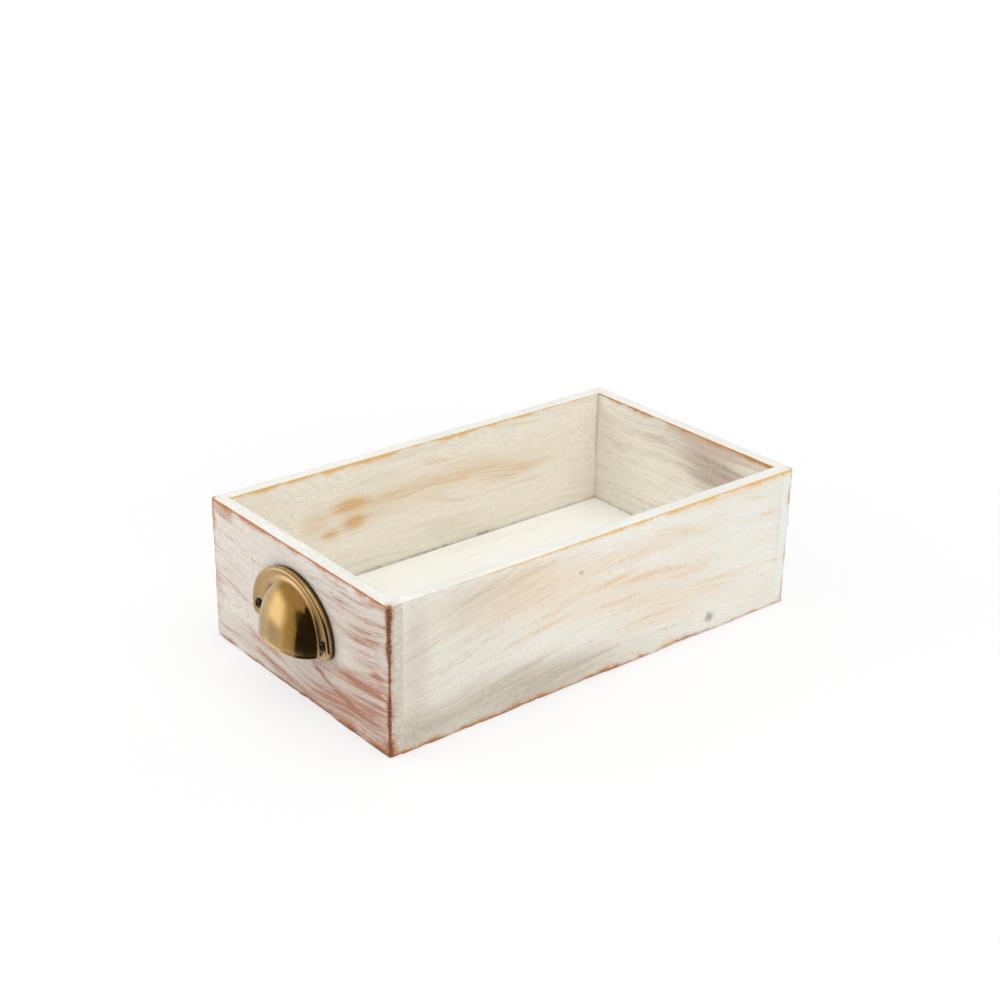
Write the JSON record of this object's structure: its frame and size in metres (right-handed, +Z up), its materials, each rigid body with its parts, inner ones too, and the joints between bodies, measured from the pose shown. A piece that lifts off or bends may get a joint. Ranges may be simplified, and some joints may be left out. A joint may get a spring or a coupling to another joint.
{
  "type": "display drawer",
  "caption": "Whitewashed wooden drawer box, open at the top, with a raised bottom board and an antique brass cup pull screwed to its front.",
  "frame": {"origin": "middle of the whole object's underside, with the box standing on it; the pull's projection is counted, so the box itself is centred 8.1 mm behind the origin", "axes": "+X to the right seen from the front, +Y from the front with the pull to the back, +Z up"},
  "size_m": [0.175, 0.3162, 0.09],
  "materials": {
    "whitewashed_board": "brushed whitewash over pine, rubbed through to brown along the edges",
    "cream_bottom": "cream wash, matt",
    "antique_brass": "antique brass, satin",
    "dark_screw": "blackened, satin",
    "painted_nail": "bright steel, head under the whitewash"
  },
  "bodies": {
    "root": {"back_board": "whitewashed_board", "back_bottom_nail_1": "painted_nail", "back_bottom_nail_2": "painted_nail", "back_left_corner_nail_1": "painted_nail", "back_left_corner_nail_2": "painted_nail", "back_left_corner_nail_3": "painted_nail", "back_right_corner_nail_1": "painted_nail", "back_right_corner_nail_2": "painted_nail", "back_right_corner_nail_3": "painted_nail", "bottom_board": "cream_bottom", "cup_pull": "antique_brass", "front_board": "whitewashed_board", "front_bottom_nail_1": "painted_nail", "front_bottom_nail_2": "painted_nail", "front_left_corner_nail_1": "painted_nail", "front_left_corner_nail_2": "painted_nail", "front_left_corner_nail_3": "painted_nail", "front_right_corner_nail_1": "painted_nail", "front_right_corner_nail_2": "painted_nail", "front_right_corner_nail_3": "painted_nail", "left_bottom_nail_1": "painted_nail", "left_bottom_nail_2": "painted_nail", "left_bottom_nail_3": "painted_nail", "left_pull_screw": "dark_screw", "left_side_board": "whitewashed_board", "right_bottom_nail_1": "painted_nail", "right_bottom_nail_2": "painted_nail", "right_bottom_nail_3": "painted_nail", "right_pull_screw": "dark_screw", "right_side_board": "whitewashed_board"}
  },
  "joints": []
}
